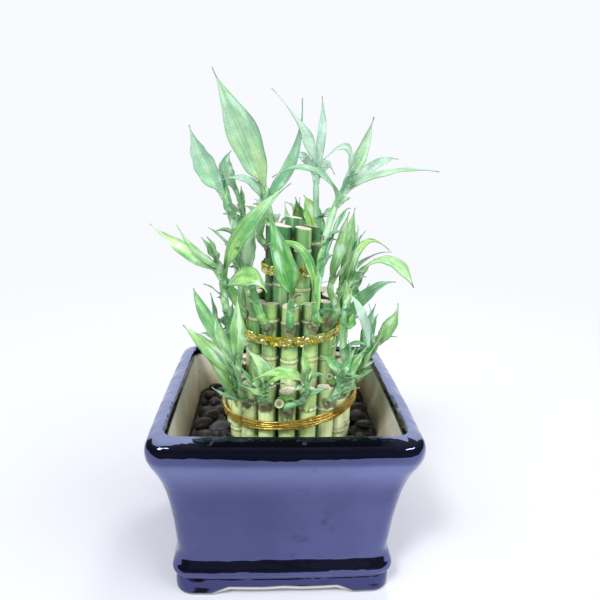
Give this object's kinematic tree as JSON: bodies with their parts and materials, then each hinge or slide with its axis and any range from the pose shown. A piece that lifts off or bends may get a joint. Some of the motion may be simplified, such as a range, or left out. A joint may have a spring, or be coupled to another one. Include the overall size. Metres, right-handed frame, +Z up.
{
  "type": "lucky bamboo in a square glazed pot",
  "caption": "Lucky bamboo arranged as a tiered tower of cut canes with leafy shoots, tied with gold cords, in a square cobalt blue glazed pot on four feet, filled with dark pebbles.",
  "frame": {"origin": "middle of the pot's footprint, on the surface that its feet rest on", "axes": "+Z up, +Y towards the pot's back side, +X towards its right side seen from the front"},
  "size_m": [0.1664, 0.1534, 0.2923],
  "materials": {
    "glaze": "glossy cobalt blue glaze with a soft metallic lustre",
    "pebbles": "polished, dark brown and black",
    "cane": "waxy green skin with pale rings at the nodes",
    "shoot": "waxy green stem wrapped in leaf sheaths",
    "leaf": "smooth, softly glossy leaf with fine lengthwise veins",
    "husk": "dry brown sheath",
    "gold_tie": "metallised gold cord"
  },
  "bodies": {
    "root": {"pot": "glaze", "pebble_bed": "pebbles", "outer_cane_01": "cane", "outer_cane_02": "cane", "outer_cane_03": "cane", "outer_cane_04": "cane", "outer_cane_05": "cane", "outer_cane_06": "cane", "outer_cane_07": "cane", "outer_cane_08": "cane", "outer_cane_09": "cane", "outer_cane_10": "cane", "outer_cane_11": "cane", "outer_cane_12": "cane", "outer_cane_13": "cane", "outer_cane_14": "cane", "outer_cane_15": "cane", "outer_cane_16": "cane", "outer_cane_17": "cane", "outer_cane_18": "cane", "middle_cane_01": "cane", "middle_cane_02": "cane", "middle_cane_03": "cane", "middle_cane_04": "cane", "middle_cane_05": "cane", "middle_cane_06": "cane", "middle_cane_07": "cane", "middle_cane_08": "cane", "middle_cane_09": "cane", "middle_cane_10": "cane", "middle_cane_11": "cane", "middle_cane_12": "cane", "inner_cane_01": "cane", "inner_cane_02": "cane", "inner_cane_03": "cane", "inner_cane_04": "cane", "inner_cane_05": "cane", "inner_cane_06": "cane", "centre_cane": "cane", "lower_tie": "gold_tie", "middle_tie": "gold_tie", "upper_tie": "gold_tie"}
  },
  "joints": []
}
